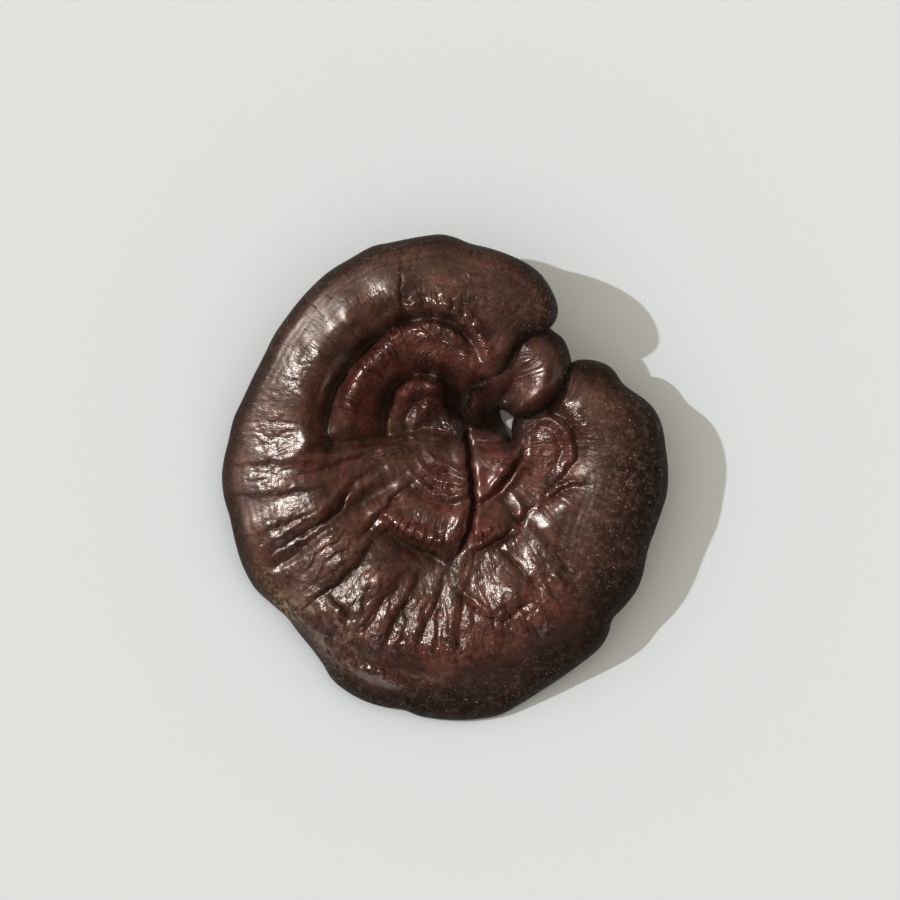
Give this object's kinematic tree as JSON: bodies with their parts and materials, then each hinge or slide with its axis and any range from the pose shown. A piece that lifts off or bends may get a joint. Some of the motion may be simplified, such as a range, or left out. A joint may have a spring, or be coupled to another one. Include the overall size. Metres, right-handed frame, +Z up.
{
  "type": "dried reishi mushroom",
  "caption": "Dried bracket fungus with a glossy, ridged, kidney-shaped cap, a rolled side lobe in its notch and a stem cut off flat, lying cap up.",
  "frame": {"origin": "on the surface that the mushroom lies on, under the middle of the cap's plan", "axes": "+Z up, from the pore surface to the lacquered crust; +Y from the foot of the cap to its crown; +X towards the right lobe, seen from above"},
  "size_m": [0.1379, 0.15, 0.0322],
  "materials": {
    "lacquered_crust": "dark red-brown natural lacquer, glossy on the folds and satin on the outer zone, with a pale matte pore surface below"
  },
  "bodies": {
    "root": {"mushroom": "lacquered_crust"}
  },
  "joints": []
}
